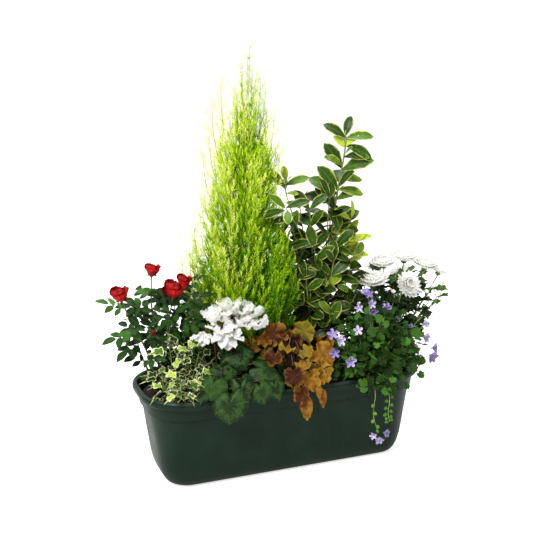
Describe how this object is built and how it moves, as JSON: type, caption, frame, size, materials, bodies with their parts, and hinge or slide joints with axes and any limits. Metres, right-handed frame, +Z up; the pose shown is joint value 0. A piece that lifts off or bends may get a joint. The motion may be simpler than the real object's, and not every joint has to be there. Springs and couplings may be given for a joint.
{
  "type": "planted window box",
  "caption": "Long rounded plastic trough filled with compost and mixed patio plants: a conifer spire, variegated shrub, roses, cyclamen, trailing ivy and bellflower.",
  "frame": {"origin": "middle of the trough's base, on the ground under its centre skid", "axes": "+X along the trough's length, -Y out of its front, +Z up the plants"},
  "size_m": [0.642, 0.2462, 0.7084],
  "materials": {
    "box_plastic": "satin moulded polypropylene, dark green",
    "compost_soil": "crumbly, dark brown, damp",
    "bark": "rough, brown",
    "rose_wood": "smooth green cane",
    "soft_stem": "soft green stem",
    "cypress_leaf": "feathery, lemon green",
    "euonymus_leaf": "leathery, green with yellow margins",
    "rose_leaf": "matt dark green",
    "rose_petal": "velvety red",
    "ivy_leaf": "green with cream margins",
    "cyclamen_leaf": "dark green with pale marbling",
    "cyclamen_petal": "soft white",
    "heuchera_leaf": "amber to caramel",
    "chrysanthemum_leaf": "matt grey green",
    "chrysanthemum_petal": "soft white",
    "campanula_leaf": "fresh green",
    "campanula_petal": "pale violet"
  },
  "bodies": {
    "root": {"campanula_foliage": "campanula_leaf", "campanula_stem": "soft_stem", "campanula_trail_1": "soft_stem", "campanula_trail_2": "soft_stem", "campanula_tuft": "campanula_petal", "chrysanthemum_bloom_1": "chrysanthemum_petal", "chrysanthemum_bloom_2": "chrysanthemum_petal", "chrysanthemum_bloom_3": "chrysanthemum_petal", "chrysanthemum_bloom_4": "chrysanthemum_petal", "chrysanthemum_foliage": "chrysanthemum_leaf", "chrysanthemum_stalk_1": "soft_stem", "chrysanthemum_stalk_2": "soft_stem", "chrysanthemum_stalk_3": "soft_stem", "chrysanthemum_stalk_4": "soft_stem", "chrysanthemum_stem": "soft_stem", "compost": "compost_soil", "cyclamen_bloom_1": "cyclamen_petal", "cyclamen_bloom_2": "cyclamen_petal", "cyclamen_bloom_3": "cyclamen_petal", "cyclamen_bloom_4": "cyclamen_petal", "cyclamen_leaf_1": "cyclamen_leaf", "cyclamen_leaf_2": "cyclamen_leaf", "cyclamen_leaf_3": "cyclamen_leaf", "cyclamen_leaf_4": "cyclamen_leaf", "cyclamen_leaf_5": "cyclamen_leaf", "cyclamen_stalk_1": "soft_stem", "cyclamen_stalk_2": "soft_stem", "cyclamen_stalk_3": "soft_stem", "cyclamen_stalk_4": "soft_stem", "cypress_foliage": "cypress_leaf", "cypress_trunk": "bark", "euonymus_foliage_main": "euonymus_leaf", "euonymus_foliage_side": "euonymus_leaf", "euonymus_foliage_tall": "euonymus_leaf", "euonymus_stem_main": "bark", "euonymus_stem_side": "bark", "euonymus_stem_tall": "bark", "heuchera_leaf_1": "heuchera_leaf", "heuchera_leaf_2": "heuchera_leaf", "heuchera_leaf_3": "heuchera_leaf", "heuchera_leaf_4": "heuchera_leaf", "heuchera_leaf_5": "heuchera_leaf", "ivy_foliage": "ivy_leaf", "ivy_sprig": "ivy_leaf", "ivy_stem": "bark", "planter_box": "box_plastic", "rose_bloom_1": "rose_petal", "rose_bloom_2": "rose_petal", "rose_bloom_3": "rose_petal", "rose_bloom_4": "rose_petal", "rose_cane_1": "rose_wood", "rose_cane_2": "rose_wood", "rose_cane_3": "rose_wood", "rose_cane_4": "rose_wood", "rose_foliage": "rose_leaf", "rose_stem": "rose_wood"}
  },
  "joints": []
}
